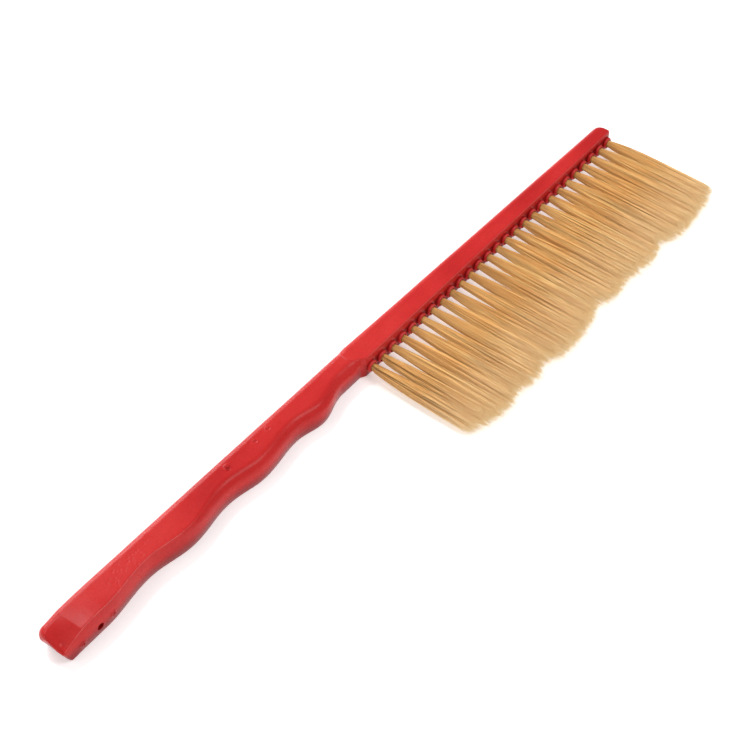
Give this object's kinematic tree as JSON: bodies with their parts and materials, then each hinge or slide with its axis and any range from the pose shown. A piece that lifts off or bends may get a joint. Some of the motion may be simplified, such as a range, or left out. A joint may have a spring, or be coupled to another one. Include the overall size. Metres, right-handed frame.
{
  "type": "long single-row hand brush",
  "caption": "Long slim hand brush: a moulded plastic handle with finger grooves runs on as a tapering beam that carries a single row of soft staple-set tufts.",
  "frame": {"origin": "middle of the brush's box, on the flat underside that it lies on", "axes": "+X from the butt to the tip along the row of bosses, -Y the way the tufts point, +Z out of the wide top face"},
  "size_m": [0.405, 0.0794, 0.0145],
  "materials": {
    "red_plastic": "injection-moulded, satin, one piece",
    "tan_filament": "fine soft synthetic filament in bundles",
    "anchor_wire": "flat drawn wire"
  },
  "bodies": {
    "root": {"handle": "red_plastic", "tuft_01": "tan_filament", "tuft_02": "tan_filament", "tuft_03": "tan_filament", "tuft_04": "tan_filament", "tuft_05": "tan_filament", "tuft_06": "tan_filament", "tuft_07": "tan_filament", "tuft_08": "tan_filament", "tuft_09": "tan_filament", "tuft_10": "tan_filament", "tuft_11": "tan_filament", "tuft_12": "tan_filament", "tuft_13": "tan_filament", "tuft_14": "tan_filament", "tuft_15": "tan_filament", "tuft_16": "tan_filament", "tuft_17": "tan_filament", "tuft_18": "tan_filament", "tuft_19": "tan_filament", "tuft_20": "tan_filament", "tuft_21": "tan_filament", "tuft_22": "tan_filament", "tuft_23": "tan_filament", "tuft_24": "tan_filament", "tuft_25": "tan_filament", "tuft_26": "tan_filament", "tuft_27": "tan_filament", "anchor_01": "anchor_wire", "anchor_02": "anchor_wire", "anchor_03": "anchor_wire", "anchor_04": "anchor_wire", "anchor_05": "anchor_wire", "anchor_06": "anchor_wire", "anchor_07": "anchor_wire", "anchor_08": "anchor_wire", "anchor_09": "anchor_wire", "anchor_10": "anchor_wire", "anchor_11": "anchor_wire", "anchor_12": "anchor_wire", "anchor_13": "anchor_wire", "anchor_14": "anchor_wire", "anchor_15": "anchor_wire", "anchor_16": "anchor_wire", "anchor_17": "anchor_wire", "anchor_18": "anchor_wire", "anchor_19": "anchor_wire", "anchor_20": "anchor_wire", "anchor_21": "anchor_wire", "anchor_22": "anchor_wire", "anchor_23": "anchor_wire", "anchor_24": "anchor_wire", "anchor_25": "anchor_wire", "anchor_26": "anchor_wire", "anchor_27": "anchor_wire"}
  },
  "joints": []
}
